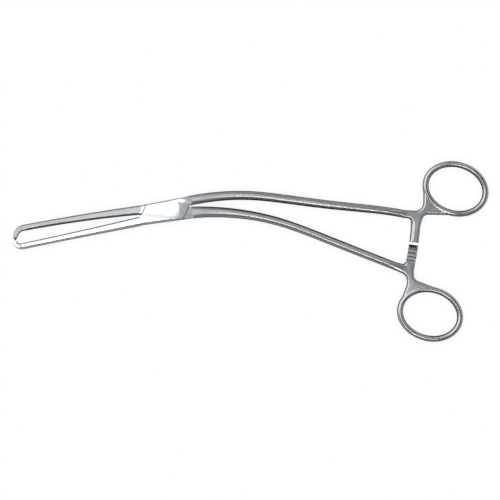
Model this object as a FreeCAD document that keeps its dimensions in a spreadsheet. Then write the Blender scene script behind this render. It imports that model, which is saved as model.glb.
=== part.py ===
import FreeCAD, Part
import math
import os

import Sketcher

# Box-lock forceps with finger rings, a ratchet and one hooked tooth on each jaw.
# X runs from the jaws to the rings, Y across the instrument in its own plane, Z through its
# thickness. The origin is on the pivot, on the underside of the lock.

SIZES = (
    # The lock, measured along and across its own axis, which leans by lock_tilt.
    ("lock_thick", 6.4, "thickness of the lock through both cheeks"),
    ("lock_tilt", 9.2, "lean of the lock's axis from X, degrees"),
    ("lock_width", 11.0, "width of the lock across the pivot"),
    ("lock_flare", 1.5, "widening of each side of the lock towards the rings, degrees"),
    ("lock_nose", 13.9, "pivot to the front ends of the lock's solid blocks"),
    ("lock_root", 14.5, "pivot to the rear ends of the lock's solid blocks"),
    ("lock_round", 1.1, "rounding of the lock's long edges"),
    ("ramp_start", 7.5, "pivot to the start of the ground slope at the back of the lock"),
    ("ramp_drop", 0.65, "fall of that slope at the end of the block"),
    ("seam_front", 8.9, "pivot to the front seam at the edge of the lock"),
    ("seam_rear", 8.5, "pivot to the rear seam at the edge of the lock"),
    ("seam_lean", 33.0, "lean of both seams, degrees"),
    ("seam_gap", 0.35, "gap between shoulder and cheek at each seam"),
    ("split_jaw_tongue", 0.35, "height of the tongue half's inner edge before the pivot"),
    ("split_jaw_box", -1.0, "height of the box half's inner edge before the pivot"),
    ("split_shank_tongue", 0.3, "height of the tongue half's inner edge behind the pivot"),
    ("split_shank_box", 1.35, "height of the box half's inner edge behind the pivot"),
    # The slot and the tongue in it.
    ("slot_thick", 2.3, "height of the slot between the cheeks"),
    ("slot_clear", 0.06, "clearance on each face of the tongue"),
    ("tongue_reach", 6.2, "pivot to each end face of the tongue"),
    ("tongue_slant", 27.4, "slant of the tongue's end faces, degrees"),
    ("opening", 45.0, "angle at which the tongue meets the ends of the slot, degrees"),
    ("stop_clear", 0.1, "clearance left there"),
    # The pivot pin, peened at both ends.
    ("pin_dia", 3.8, "diameter of the pin's shaft"),
    ("pin_head_dia", 4.8, "diameter of the peened ends"),
    ("pin_head_depth", 0.5, "depth of the peened ends"),
    ("pin_clear", 0.05, "radial running clearance in the tongue"),
    # The shanks: a bow of one radius from the lock, then straight to the handle.
    ("handle_reach", 126.0, "pivot to the end of both shanks"),
    ("box_shank_start", 12.0, "pivot to the start of the upper bow"),
    ("box_shank_rise", 5.47, "height of the upper bow's start"),
    ("box_bow_start", 12.5, "direction of the upper bow's start, degrees"),
    ("box_bow_end", -7.18, "direction of the upper shank at the handle, degrees"),
    ("box_bow_radius", 126.9, "radius of the upper bow"),
    ("tongue_shank_start", 14.0, "pivot to the start of the lower bow"),
    ("tongue_shank_rise", -0.52, "height of the lower bow's start"),
    ("tongue_bow_start", 3.7, "direction of the lower bow's start, degrees"),
    ("tongue_bow_end", -21.55, "direction of the lower shank at the handle, degrees"),
    ("tongue_bow_radius", 135.3, "radius of the lower bow"),
    ("box_root_width", 5.2, "width of the upper shank where it leaves the lock"),
    ("box_bow_width", 4.65, "width of the upper shank at the end of its bow"),
    ("tongue_root_width", 6.2, "width of the lower shank where it leaves the lock"),
    ("tongue_bow_width", 4.2, "width of the lower shank at the end of its bow"),
    ("shank_neck_width", 4.15, "width of a shank at the handle"),
    ("shank_root_thick", 5.3, "thickness of a shank where it leaves the lock"),
    ("shank_mid_thick", 4.4, "thickness of a shank at the end of its bow"),
    ("shank_neck_thick", 4.0, "thickness of a shank at the handle"),
    ("shank_crown", 0.38, "corner radius of a shank as a share of its thickness"),
    # The jaws.
    ("jaw_root_width", 4.8, "width of a jaw at the lock"),
    ("jaw_tip_width", 3.2, "width of a jaw at the start of its hook"),
    ("jaw_root_thick", 6.4, "thickness of a jaw at the lock"),
    ("jaw_tip_thick", 3.4, "thickness of a jaw at the start of its hook"),
    ("jaw_tip_round", 0.95, "corner radius of a jaw at the start of its hook"),
    ("jaw_start", 13.0, "pivot to the start of both jaws"),
    ("tongue_jaw_rise", 0.75, "height of the upper jaw's start"),
    ("tongue_jaw_slope", 6.5, "slope of the upper jaw at the lock, degrees"),
    ("tongue_jaw_bend", 4.3, "gentle bend of the upper jaw towards the lower, degrees"),
    ("tongue_jaw_length", 62.1, "length of the upper jaw to its hook"),
    ("box_jaw_rise", -5.2, "height of the lower jaw's start"),
    ("box_jaw_slope", 11.9, "slope of the lower jaw, degrees"),
    ("box_jaw_length", 63.5, "length of the lower jaw to its hook"),
    # The hooks: a bend of one radius, then a short tapered point.
    ("tongue_hook_radius", 5.2, "radius of the upper hook's bend"),
    ("tongue_hook_turn", 78.0, "turn of the upper hook, degrees"),
    ("tongue_hook_point", 1.7, "length of the upper hook's point"),
    ("box_hook_radius", 3.2, "radius of the lower hook's bend"),
    ("box_hook_turn", 80.0, "turn of the lower hook, degrees"),
    ("box_hook_point", 1.2, "length of the lower hook's point"),
    ("hook_width", 2.3, "width of a hook at the foot of its point"),
    ("hook_thick", 1.5, "thickness of a hook at the foot of its point"),
    ("hook_round", 0.4, "corner radius of a hook at the foot of its point"),
    ("point_size", 0.3, "width and thickness of a hook's very point"),
    ("point_lap", 0.3, "clearance of each point from the middle plane"),
    # The finger rings.
    ("ring_bore_long", 29.0, "longer diameter of a ring's opening"),
    ("ring_bore_wide", 22.4, "shorter diameter of a ring's opening"),
    ("ring_rod_width", 3.05, "width of a ring's rod in the plane of the forceps"),
    ("ring_rod_thick", 4.4, "thickness of a ring's rod"),
    ("ring_rod_crown", 1.3, "corner radius of a ring's rod"),
    ("box_ring_ahead", 26.4, "end of the upper shank to the centre of its ring, along X"),
    ("box_ring_rise", 13.3, "end of the upper shank to the centre of its ring, along Y"),
    ("box_ring_tilt", -18.0, "lean of the upper ring, degrees"),
    ("tongue_ring_ahead", 13.0, "end of the lower shank to the centre of its ring, along X"),
    ("tongue_ring_rise", -23.0, "end of the lower shank to the centre of its ring, along Y"),
    ("tongue_ring_tilt", -16.0, "lean of the lower ring, degrees"),
    # The flat webs that join shank, ring and ratchet arm.
    ("web_thick", 4.0, "thickness of the webs"),
    ("web_edge", 1.2, "rounding of the webs' long edges"),
    ("crook_radius", 4.2, "inner radius between a shank and the neck of its ring"),
    ("arm_root_radius", 3.2, "inner radius between a ratchet arm and its ring"),
    ("arm_foot_radius", 2.0, "inner radius between a ratchet arm and its shank"),
    ("arm_blend_radius", 9.0, "radius that eases the upper arm into its web"),
    ("box_arm_first", -3.4, "start of the upper arm's outer edge, degrees from X"),
    ("box_arm_last", -1.66, "start of the upper arm's inner edge, degrees from X"),
    ("box_arm_root", -2.75, "end of the upper web at its arm, degrees from X"),
    ("tongue_arm_first", -12.5, "start of the lower arm's inner edge, degrees from X"),
    ("tongue_arm_last", -13.0, "start of the lower arm's outer edge, degrees from X"),
    ("tongue_arm_root", -12.0, "end of the lower web at its arm, degrees from X"),
    # The ratchet arms, curved about the pivot.
    ("arm_ahead", 5.6, "end of the shanks to the middle of the ratchet arms"),
    ("arm_width", 4.9, "width of a ratchet arm"),
    ("arm_lap", 0.1, "clearance of the tooth crests from the middle plane"),
    ("box_arm_end", 7.1, "end of the upper arm below X, degrees"),
    ("tongue_arm_end", 7.65, "end of the lower arm below X, degrees"),
    ("tooth_pitch", 0.88, "angle from tooth to tooth, degrees"),
    ("tooth_count", 4, "teeth on each arm"),
    ("tooth_depth", 0.75, "depth of the teeth"),
    ("lead_length", 1.9, "length of the bevel at an arm's end"),
    ("lead_drop", 1.2, "depth of that bevel"),
)

SHEET = "Sizes."


def cell(name):
    """The expression that reads one named size."""
    return SHEET + name


def size(name):
    """The number that one named size holds."""
    return float(sheet.get(name))


def origin_plane(body, role):
    """One of a body's own reference planes or axes."""
    for feature in body.Origin.OriginFeatures:
        if feature.Role == role:
            return feature
    raise LookupError(role)


def number(body, expression):
    """The value of an expression of the sheet's sizes."""
    value = body.evalExpression(expression)
    return float(getattr(value, "Value", value))


def new_sketch(body, name, plane, base, axis, angle):
    """A sketch on an origin plane, moved by base and turned by angle about axis of that plane."""
    sketch = body.newObject("Sketcher::SketchObject", name)
    sketch.AttachmentSupport = (origin_plane(body, plane), [""])
    sketch.MapMode = "FlatFace"
    place = FreeCAD.Vector(*[number(body, part) for part in base])
    turn = FreeCAD.Rotation(FreeCAD.Vector(*axis), number(body, angle))
    sketch.AttachmentOffset = FreeCAD.Placement(place, turn)
    for letter, part in zip("xyz", base):
        sketch.setExpression(f".AttachmentOffset.Base.{letter}", part)
    sketch.setExpression(".AttachmentOffset.Rotation.Angle", angle)
    return sketch


def lock_sketch(body, name, level):
    """A sketch seen from above, along and across the lock, at height level."""
    return new_sketch(body, name, "XY_Plane", ("0", "0", level), (0, 0, 1), cell("lock_tilt"))


def plan_sketch(body, name, level):
    """A sketch seen from above, along X and Y, at height level."""
    return new_sketch(body, name, "XY_Plane", ("0", "0", level), (0, 0, 1), "0")


def cross_sketch(body, name, x, y, heading, level):
    """A sketch square to a centreline that passes (x, y) in the direction heading."""
    return new_sketch(body, name, "YZ_Plane", (y, level, x), (0, 1, 0), heading)


def bind(sketch, kind, *rest):
    """Adds a constraint whose last item is an expression, and binds it to that expression."""
    body = sketch.getParentGeoFeatureGroup()
    value = number(body, rest[-1])
    index = sketch.addConstraint(Sketcher.Constraint(kind, *rest[:-1], value))
    sketch.setExpression(f"Constraints[{index}]", rest[-1])


def outline(sketch, corners, arcs=None):
    """Draws a closed outline through corners, each a pair of expressions.

    arcs maps the index of a corner to (radius, side) of the arc that leaves it, with side 1
    where the arc's centre is on the left of the way along it, and -1 on the right.
    """
    arcs = arcs or {}
    body = sketch.getParentGeoFeatureGroup()
    points = [FreeCAD.Vector(number(body, x), number(body, y), 0) for x, y in corners]
    ends = []
    for i, start in enumerate(points):
        finish = points[(i + 1) % len(points)]
        if i not in arcs:
            sketch.addGeometry(Part.LineSegment(start, finish))
            ends.append((1, 2))
            continue
        radius, side = arcs[i]
        chord = finish - start
        left = FreeCAD.Vector(-chord.y, chord.x, 0).normalize()
        half = chord.Length / 2
        rise = math.sqrt(max(number(body, radius) ** 2 - half**2, 0.0))
        centre = start + chord * 0.5 + left * (rise * side)
        first, last = (start, finish) if side > 0 else (finish, start)
        a0 = math.atan2(first.y - centre.y, first.x - centre.x)
        a1 = math.atan2(last.y - centre.y, last.x - centre.x)
        if a1 < a0:
            a1 += 2 * math.pi
        circle = Part.Circle(centre, FreeCAD.Vector(0, 0, 1), number(body, radius))
        sketch.addGeometry(Part.ArcOfCircle(circle, a0, a1))
        ends.append((1, 2) if side > 0 else (2, 1))
    for i, (_, tail) in enumerate(ends):
        after = (i + 1) % len(ends)
        sketch.addConstraint(Sketcher.Constraint("Coincident", i, tail, after, ends[after][0]))
    for i, (x, y) in enumerate(corners):
        bind(sketch, "DistanceX", -1, 1, i, ends[i][0], x)
        bind(sketch, "DistanceY", -1, 1, i, ends[i][0], y)
    for i, (radius, _) in arcs.items():
        bind(sketch, "Radius", i, radius)


def oval(sketch, width, thick, corner):
    """A rectangle with rounded corners about the sketch's origin."""
    w, t, r = f"({width}) / 2", f"({thick}) / 2", f"({corner})"
    corners = (
        (f"-({w} - {r})", f"-({t})"),
        (f"{w} - {r}", f"-({t})"),
        (w, f"-({t} - {r})"),
        (w, f"{t} - {r}"),
        (f"{w} - {r}", t),
        (f"-({w} - {r})", t),
        (f"-({w})", f"{t} - {r}"),
        (f"-({w})", f"-({t} - {r})"),
    )
    outline(sketch, corners, {1: (r, 1), 3: (r, 1), 5: (r, 1), 7: (r, 1)})


def circle(sketch, diameter):
    """A circle about the sketch's origin."""
    body = sketch.getParentGeoFeatureGroup()
    radius = number(body, diameter) / 2
    sketch.addGeometry(Part.Circle(FreeCAD.Vector(0, 0, 0), FreeCAD.Vector(0, 0, 1), radius))
    sketch.addConstraint(Sketcher.Constraint("Coincident", 0, 3, -1, 1))
    bind(sketch, "Diameter", 0, diameter)


def ellipse(sketch, long_radius, short_radius, side=0):
    """An ellipse about the sketch's origin, long along its first axis.

    side 1 draws only the half above that axis, -1 the half below it, 0 the whole.
    """
    body = sketch.getParentGeoFeatureGroup()
    long_value, short_value = number(body, long_radius), number(body, short_radius)
    centre = FreeCAD.Vector(0, 0, 0)
    reach = FreeCAD.Vector(long_value, 0, 0)
    curve = Part.Ellipse(reach, FreeCAD.Vector(0, short_value, 0), centre)
    if side:
        first = 0 if side > 0 else math.pi
        curve = Part.ArcOfEllipse(curve, first, first + math.pi)
    sketch.addGeometry(curve)
    sketch.exposeInternalGeometry(0)
    sketch.addConstraint(Sketcher.Constraint("Coincident", 0, 3, -1, 1))
    sketch.addConstraint(Sketcher.Constraint("Horizontal", 1))
    bind(sketch, "Distance", 1, f"2 * ({long_radius})")
    bind(sketch, "Distance", 2, f"2 * ({short_radius})")
    if side:
        sketch.addConstraint(Sketcher.Constraint("PointOnObject", 0, 1, -1))
        sketch.addConstraint(Sketcher.Constraint("PointOnObject", 0, 2, -1))


def pad(body, sketch, name, length):
    """Raises a sketch along its own normal."""
    feature = body.newObject("PartDesign::Pad", name)
    feature.Profile = sketch
    feature.Length = number(body, length)
    feature.setExpression("Length", length)
    return feature


def pocket(body, sketch, name, length):
    """Cuts a sketch's outline out of the body, against the sketch's normal."""
    before = body.Shape.Volume
    feature = body.newObject("PartDesign::Pocket", name)
    feature.Profile = sketch
    feature.Length = number(body, length)
    feature.setExpression("Length", length)
    doc.recompute()
    if body.Shape.Volume > before - 1e-4:
        raise ValueError(f"{body.Label}: {name} cuts nothing, {feature.State}")
    return feature


def loft(body, sections, name):
    """Joins sections by one smooth skin."""
    feature = body.newObject("PartDesign::AdditiveLoft", name)
    feature.Profile = sections[0]
    feature.Sections = sections[1:]
    return feature


def edges_where(shape, test):
    """The names of the edges of shape that pass test."""
    return [f"Edge{i + 1}" for i, edge in enumerate(shape.Edges) if test(edge)]


def upright_at(x, y):
    """A test for an upright edge at (x, y)."""

    def test(edge):
        box = edge.BoundBox
        away = math.hypot(box.Center.x - x, box.Center.y - y)
        return box.ZLength > 0.5 and max(box.XLength, box.YLength) < 1e-4 and away < 0.05

    return test


def lying_at(*levels):
    """A test for an edge that lies level at one of these heights."""

    def test(edge):
        box = edge.BoundBox
        return any(abs(box.ZMin - z) < 1e-4 and abs(box.ZMax - z) < 1e-4 for z in levels)

    return test


def round_edges(body, names, name, radius):
    """Rounds the named edges of the body's last feature."""
    base = body.Tip
    if not names:
        raise ValueError(f"{body.Label}: {name} found no edge")
    feature = body.newObject("PartDesign::Fillet", name)
    feature.Base = (base, names)
    feature.Radius = number(body, radius)
    feature.setExpression("Radius", radius)
    doc.recompute()
    return feature


# Heights that both halves share.
MIDDLE = f"{cell('lock_thick')} / 2"
SLOT_TOP = f"{MIDDLE} + {cell('slot_thick')} / 2"


def lock_edge(u, side):
    """The height of the lock's upper (side 1) or lower (side -1) edge at u along its axis."""
    return f"{side} * ({cell('lock_width')} / 2 + ({u}) * tan({cell('lock_flare')}))"


def along_lock(point):
    """A point of the model, as its place along and across the lock's axis."""
    tilt = math.radians(size("lock_tilt"))
    u = point.x * math.cos(tilt) + point.y * math.sin(tilt)
    return u, point.y * math.cos(tilt) - point.x * math.sin(tilt)


def round_lock(body, name, *lines):
    """Rounds the lock's long edges that lie on its sides or on one of these lines across it."""
    level = lying_at(0, size("lock_thick"))
    flare = math.tan(math.radians(size("lock_flare")))

    def test(edge):
        if not level(edge):
            return False
        ends = [along_lock(corner.Point) for corner in edge.Vertexes]
        outer = all(abs(abs(v) - size("lock_width") / 2 - u * flare) < 0.03 for u, v in ends)
        return outer or any(all(abs(v - line) < 1e-3 for _, v in ends) for line in lines)

    round_edges(body, edges_where(body.Shape, test), name, cell("lock_round"))


def front_seam(v, gap="0"):
    """The front seam's place along the lock's axis at height v, moved forwards by gap."""
    top = lock_edge(f"-{cell('seam_front')}", 1)
    lean = cell("seam_lean")
    return f"-{cell('seam_front')} + (({v}) - ({top})) * tan({lean}) - ({gap}) / cos({lean})"


def rear_seam(v, gap="0"):
    """The rear seam's place along the lock's axis at height v, moved backwards by gap."""
    low = lock_edge(cell("seam_rear"), -1)
    lean = cell("seam_lean")
    return f"{cell('seam_rear')} + (({v}) - ({low})) * tan({lean}) + ({gap}) / cos({lean})"


def end_face(v, reach, slant, side):
    """Where a line square to a slanted radius, reach from the pivot, passes height v."""
    return f"{side} * (({reach}) - {side} * ({v}) * sin({slant})) / cos({slant})"


def end_face_at_edge(side):
    """Where the tongue's end face leaves the lower (side -1) or upper (side 1) edge."""
    slant, half = cell("tongue_slant"), f"{cell('lock_width')} / 2"
    over = f"{cell('tongue_reach')} - ({half}) * sin({slant})"
    under = f"cos({slant}) + {side} * tan({cell('lock_flare')}) * sin({slant})"
    return f"{side} * ({over}) / ({under})"


def bow_point(half, share):
    """Place and direction at a share of a shank's bow, as expressions."""
    start, end = cell(f"{half}_bow_start"), cell(f"{half}_bow_end")
    radius = cell(f"{half}_bow_radius")
    heading = f"({start} + ({end} - {start}) * {share})"
    x = f"{cell(f'{half}_shank_start')} + {radius} * (sin({start}) - sin({heading}))"
    y = f"{cell(f'{half}_shank_rise')} + {radius} * (cos({heading}) - cos({start}))"
    return x, y, heading


def straight_point(half, share):
    """Place and direction at a share of a shank's straight part, as expressions."""
    x0, y0, heading = bow_point(half, 1)
    x = f"({x0}) + ({cell('handle_reach')} - ({x0})) * {share}"
    y = f"({y0}) + ({cell('handle_reach')} - ({x0})) * {share} * tan({heading})"
    return x, y, heading


def between(first, last, share):
    """A size that changes evenly from one named size to another."""
    return f"({cell(first)} + ({cell(last)} - {cell(first)}) * {share})"


def add_shank(body, half):
    """The shank: a bowed bar that thins towards the handle."""
    sections = []
    bow = (0, 0.25, 0.5, 0.75, 1)
    straight = (0.5, 1)
    for i, share in enumerate(bow):
        x, y, heading = bow_point(half, share)
        sketch = cross_sketch(body, f"ShankBow{i}", x, y, heading, MIDDLE)
        flare = between(f"{half}_bow_width", f"{half}_root_width", (1 - share) ** 2)
        thick = between("shank_root_thick", "shank_mid_thick", share)
        oval(sketch, flare, thick, f"{cell('shank_crown')} * {thick}")
        sections.append(sketch)
    for i, share in enumerate(straight):
        x, y, heading = straight_point(half, share)
        sketch = cross_sketch(body, f"ShankStraight{i}", x, y, heading, MIDDLE)
        width = between(f"{half}_bow_width", "shank_neck_width", share)
        thick = between("shank_mid_thick", "shank_neck_thick", share)
        oval(sketch, width, thick, f"{cell('shank_crown')} * {thick}")
        sections.append(sketch)
    loft(body, sections, "Shank")
    doc.recompute()


def jaw_point(half, share):
    """Place and slope at a share of a jaw's length, as expressions."""
    x0, y0 = f"-{cell('jaw_start')}", cell(f"{half}_jaw_rise")
    slope, length = cell(f"{half}_jaw_slope"), cell(f"{half}_jaw_length")
    if half == "box":
        x = f"{x0} - {length} * {share} * cos({slope})"
        y = f"{y0} - {length} * {share} * sin({slope})"
        return x, y, slope
    bend = cell("tongue_jaw_bend")
    here = f"({slope} + {bend} * {share})"
    radius = f"({length} / ({bend} * pi / 180))"
    x = f"{x0} - {radius} * (sin({here}) - sin({slope}))"
    y = f"{y0} + {radius} * (cos({here}) - cos({slope}))"
    return x, y, here


def hook_point(half, share, beyond="0"):
    """Place and slope at a share of a hook's bend, moved on by beyond, as expressions."""
    x0, y0, slope = jaw_point(half, 1)
    side = 1 if half == "tongue" else -1
    radius, turn = cell(f"{half}_hook_radius"), cell(f"{half}_hook_turn")
    here = f"({slope} + {side} * {turn} * {share})"
    x = f"{x0} - {side} * {radius} * (sin({here}) - sin({slope})) - {beyond} * cos({here})"
    y = f"{y0} + {side} * {radius} * (cos({here}) - cos({slope})) - {beyond} * sin({here})"
    return x, y, here


def add_jaw(body, half):
    """The jaw and its hook, whose point lies on one side of the middle plane."""
    sections = []
    for i, share in enumerate((0, 0.15, 0.4, 0.7, 1)):
        x, y, slope = jaw_point(half, share)
        sketch = cross_sketch(body, f"Jaw{i}", x, y, slope, MIDDLE)
        flare = between("jaw_tip_width", "jaw_root_width", (1 - share) ** 2)
        thick = between("jaw_root_thick", "jaw_tip_thick", share)
        oval(sketch, flare, thick, between("lock_round", "jaw_tip_round", share))
        sections.append(sketch)
    loft(body, sections, "Jaw")
    side = 1 if half == "tongue" else -1
    hook = []
    for i, share in enumerate((0, 0.33, 0.67, 1)):
        x, y, slope = hook_point(half, share)
        width = between("jaw_tip_width", "hook_width", share)
        thick = between("jaw_tip_thick", "hook_thick", share)
        lift = f"{side} * ({cell('point_lap')} + {cell('hook_thick')} / 2) * {share}"
        sketch = cross_sketch(body, f"Hook{i}", x, y, slope, f"{MIDDLE} + {lift}")
        oval(sketch, width, thick, between("jaw_tip_round", "hook_round", share))
        hook.append(sketch)
    loft(body, hook, "Hook")
    foot = cross_sketch(body, "PointFoot", *hook_point(half, 1), f"{MIDDLE} + {lift}")
    oval(foot, cell("hook_width"), cell("hook_thick"), cell("hook_round"))
    tip_place = hook_point(half, 1, cell(f"{half}_hook_point"))
    drop = f"{side} * ({cell('point_lap')} + {cell('point_size')} / 2)"
    tip = cross_sketch(body, "PointTip", *tip_place, f"{MIDDLE} + {drop}")
    oval(tip, cell("point_size"), cell("point_size"), f"0.4 * {cell('point_size')}")
    loft(body, [foot, tip], "Point")
    doc.recompute()


def handle_point(half, ahead, rise):
    """A point measured from the end of a shank, as expressions."""
    x, y, _ = straight_point(half, 1)
    return f"{x} + ({ahead})", f"{y} + ({rise})"


def add_handle(body, half, before, after, rounds, top_teeth):
    """The flat web between shank, ring and arm, the arm on it, and the ring.

    before and after are the web's corners on either side of the arm, measured from the end of
    the shank. rounds maps a corner's place in the whole outline to its radius. top_teeth tells
    whether the teeth are on the upper face of the arm, which then is the lower of the two arms.
    """
    low = f"{MIDDLE} - {cell('web_thick')} / 2"
    end = f"-{cell(f'{half}_arm_end')}"
    first, last = cell(f"{half}_arm_first"), cell(f"{half}_arm_last")
    start, finish = (1, -1) if half == "box" else (-1, 1)
    arm = (arm_corner(start, first), arm_corner(start, end), arm_corner(finish, end), arm_corner(finish, last))
    places = [handle_point(half, *corner) for corner in before]
    foot = len(places)
    places += arm
    places += [handle_point(half, *corner) for corner in after]
    plan = plan_sketch(body, "WebPlan", low)
    outline(plan, places, {foot: (arm_radius(start), -start), foot + 2: (arm_radius(finish), start)})
    pad(body, plan, "Web", cell("web_thick"))
    doc.recompute()
    for i, radius in rounds.items():
        x, y = (number(body, part) for part in places[i])
        names = edges_where(body.Shape, upright_at(x, y))
        round_edges(body, names, f"WebRound{i}", radius)
    cut = ring_sketch(body, half, "WebOpening", f"{MIDDLE} + {cell('web_thick')}")
    half_rod = f"{cell('ring_rod_width')} / 2"
    ellipse(cut, f"{cell('ring_bore_long')} / 2 + {half_rod}", f"{cell('ring_bore_wide')} / 2 + {half_rod}")
    pocket(body, cut, "WebCut", f"2 * {cell('web_thick')}")
    round_web(body, half)
    thin_arm(body, half, low, top_teeth)
    cut_teeth(body, half, top_teeth)
    add_ring(body, half)


def arm_corner(side, angle):
    """A point on the inner (side -1) or outer (1) edge of the arms, at angle about the pivot."""
    return f"({arm_radius(side)}) * cos({angle})", f"({arm_radius(side)}) * sin({angle})"


def round_web(body, half):
    """Rounds the sides of web and arm on both faces, all but what the shank and the ring cover."""
    middle, half_thick = number(body, MIDDLE), size("web_thick") / 2
    level = lying_at(middle - half_thick, middle + half_thick)
    start = body.Shape.BoundBox.XMin
    centre_x, centre_y = (number(body, part) for part in ring_centre(half))
    tilt = math.radians(size(f"{half}_ring_tilt"))
    reach = size("ring_bore_long") / 2 + size("ring_rod_width")
    across = size("ring_bore_wide") / 2 + size("ring_rod_width")

    def hidden(corner):
        x, y = corner.X - centre_x, corner.Y - centre_y
        u, v = x * math.cos(tilt) + y * math.sin(tilt), y * math.cos(tilt) - x * math.sin(tilt)
        return corner.X < start + 1e-3 or math.hypot(u / reach, v / across) < 1

    def at_arm_end(corner):
        return abs(math.degrees(math.atan2(corner.Y, corner.X)) + size(f"{half}_arm_end")) < 1e-3

    def test(edge):
        corners = edge.Vertexes
        return level(edge) and not all(map(hidden, corners)) and not all(map(at_arm_end, corners))

    round_edges(body, edges_where(body.Shape, test), "WebEdges", cell("web_edge"))


def thin_arm(body, half, low, top_teeth):
    """Takes away the half of the arm's thickness that the other arm passes through."""
    end, root = f"-{cell(f'{half}_arm_end')}", cell(f"{half}_arm_root")
    way = 1 if half == "tongue" else -1
    corners = []
    for side, angle in ((-1.4, root), (-1.4, f"{end} + {way} * 0.5"), (1.4, f"{end} + {way} * 0.5"), (1.4, root)):
        corners.append(arm_corner(side, angle))
    level = f"{low} + {cell('web_thick')} + 1" if top_teeth else f"{MIDDLE} + {cell('arm_lap')}"
    plan = plan_sketch(body, "ArmRoomPlan", level)
    outline(plan, corners)
    pocket(body, plan, "ArmRoom", f"{cell('web_thick')} / 2 + {cell('arm_lap')} + 1")


def ring_centre(half):
    """The centre of a finger ring, as expressions."""
    return handle_point(half, cell(f"{half}_ring_ahead"), cell(f"{half}_ring_rise"))


def ring_sketch(body, half, name, level):
    """A sketch seen from above, along and across one ring."""
    x, y = ring_centre(half)
    return new_sketch(body, name, "XY_Plane", (x, y, level), (0, 0, 1), cell(f"{half}_ring_tilt"))


def add_ring(body, half):
    """The finger ring: a rod of crowned section along an ellipse, the half on the web first."""
    for side in (-1, 1) if half == "box" else (1, -1):
        add_half_ring(body, half, side)


def add_half_ring(body, half, side):
    """The half of a finger ring above (side 1) or below (side -1) its long axis."""
    word = "Above" if side > 0 else "Below"
    half_rod = f"{cell('ring_rod_width')} / 2"
    reach = f"({cell('ring_bore_long')} / 2 + {half_rod})"
    spine = ring_sketch(body, half, f"RingSpine{word}", MIDDLE)
    ellipse(spine, reach, f"{cell('ring_bore_wide')} / 2 + {half_rod}", side)
    x, y = ring_centre(half)
    tilt = cell(f"{half}_ring_tilt")
    across, along = f"{side} * {reach} * sin({tilt})", f"{side} * {reach} * cos({tilt})"
    place = (f"{x} + {along}", MIDDLE, f"-({y} + {across})")
    rod = new_sketch(body, f"RingRod{word}", "XZ_Plane", place, (0, 1, 0), tilt)
    oval(rod, cell("ring_rod_width"), cell("ring_rod_thick"), cell("ring_rod_crown"))
    feature = body.newObject("PartDesign::AdditivePipe", f"Ring{word}")
    feature.Profile = rod
    feature.Spine = (spine, ["Edge1"])
    doc.recompute()


def arm_radius(side):
    """The inner (side -1), middle (0) or outer (1) radius of the ratchet arms about the pivot."""
    return f"{cell('handle_reach')} + {cell('arm_ahead')} + {side} * {cell('arm_width')} / 2"


def cut_teeth(body, half, top_teeth):
    """The bevel at the end of a ratchet arm and the saw teeth behind it."""
    end = f"-{cell(f'{half}_arm_end')}"
    crest = f"{MIDDLE} - {cell('arm_lap')}" if top_teeth else f"{MIDDLE} + {cell('arm_lap')}"
    into = -1 if top_teeth else 1
    way = 1 if half == "tongue" else -1
    reach = f"{arm_radius(1)} + 1"
    across = f"{cell('arm_width')} + 2"
    lead = radial_sketch(body, "LeadProfile", end, reach, crest)
    start = f"-{way} * {cell('lead_length')}"
    outline(
        lead,
        (
            (start, "0"),
            (f"{way} * 0.3", f"{into} * {cell('lead_drop')}"),
            (f"{way} * 0.6", f"{into} * {cell('lead_drop')}"),
            (f"{way} * 0.6", f"-{into} * 0.5"),
            (start, f"-{into} * 0.5"),
        ),
    )
    pocket(body, lead, "Lead", across)
    run = f"2 * pi * ({arm_radius(0)}) / 360"
    first_tooth = f"({end} - {way} * {cell('lead_length')} / ({run}))"
    notch = radial_sketch(body, "ToothProfile", first_tooth, reach, crest)
    pitch = f"{cell('tooth_pitch')} * {run}"
    outline(
        notch,
        (
            ("0", f"{into} * {cell('tooth_depth')}"),
            ("0", f"-{into} * 0.4"),
            (f"-{way} * 0.85 * {pitch}", f"-{into} * 0.4"),
            (f"-{way} * 0.85 * {pitch}", "0"),
        ),
    )
    cut = pocket(body, notch, "Tooth", across)
    pattern = body.newObject("PartDesign::PolarPattern", "Teeth")
    pattern.Originals = [cut]
    pattern.Axis = (origin_plane(body, "Z_Axis"), [""])
    pattern.Occurrences = int(size("tooth_count"))
    pattern.setExpression("Occurrences", cell("tooth_count"))
    pattern.Angle = size("tooth_pitch") * (size("tooth_count") - 1)
    pattern.setExpression("Angle", f"{cell('tooth_pitch')} * ({cell('tooth_count')} - 1)")
    pattern.Reversed = half == "tongue"
    body.Tip = pattern
    doc.recompute()


def radial_sketch(body, name, angle, reach, level):
    """A sketch square to the radius at angle, reach from the pivot; its x runs round the pivot."""
    x = f"({reach}) * cos({angle})"
    y = f"({reach}) * sin({angle})"
    return cross_sketch(body, name, x, y, angle, level)


def add_ramp(body):
    """The slope ground on both faces at the back of the lock."""
    start, end = cell("ramp_start"), f"{cell('lock_root')} + 1"
    top, drop = cell("lock_thick"), cell("ramp_drop")
    side = f"({cell('lock_width')} + 4)"
    tilt = cell("lock_tilt")
    place = (f"{side} * sin({tilt})", "0", f"{side} * cos({tilt})")
    upper = new_sketch(body, "RampAbove", "XZ_Plane", place, (0, 1, 0), tilt)
    outline(upper, ((start, top), (end, f"{top} - {drop}"), (end, f"{top} + 1"), (start, f"{top} + 1")))
    pocket(body, upper, "SlopeAbove", f"2 * {side}")
    lower = new_sketch(body, "RampBelow", "XZ_Plane", place, (0, 1, 0), tilt)
    outline(lower, ((start, "0"), (start, "-1"), (end, "-1"), (end, drop)))
    pocket(body, lower, "SlopeBelow", f"2 * {side}")


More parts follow.
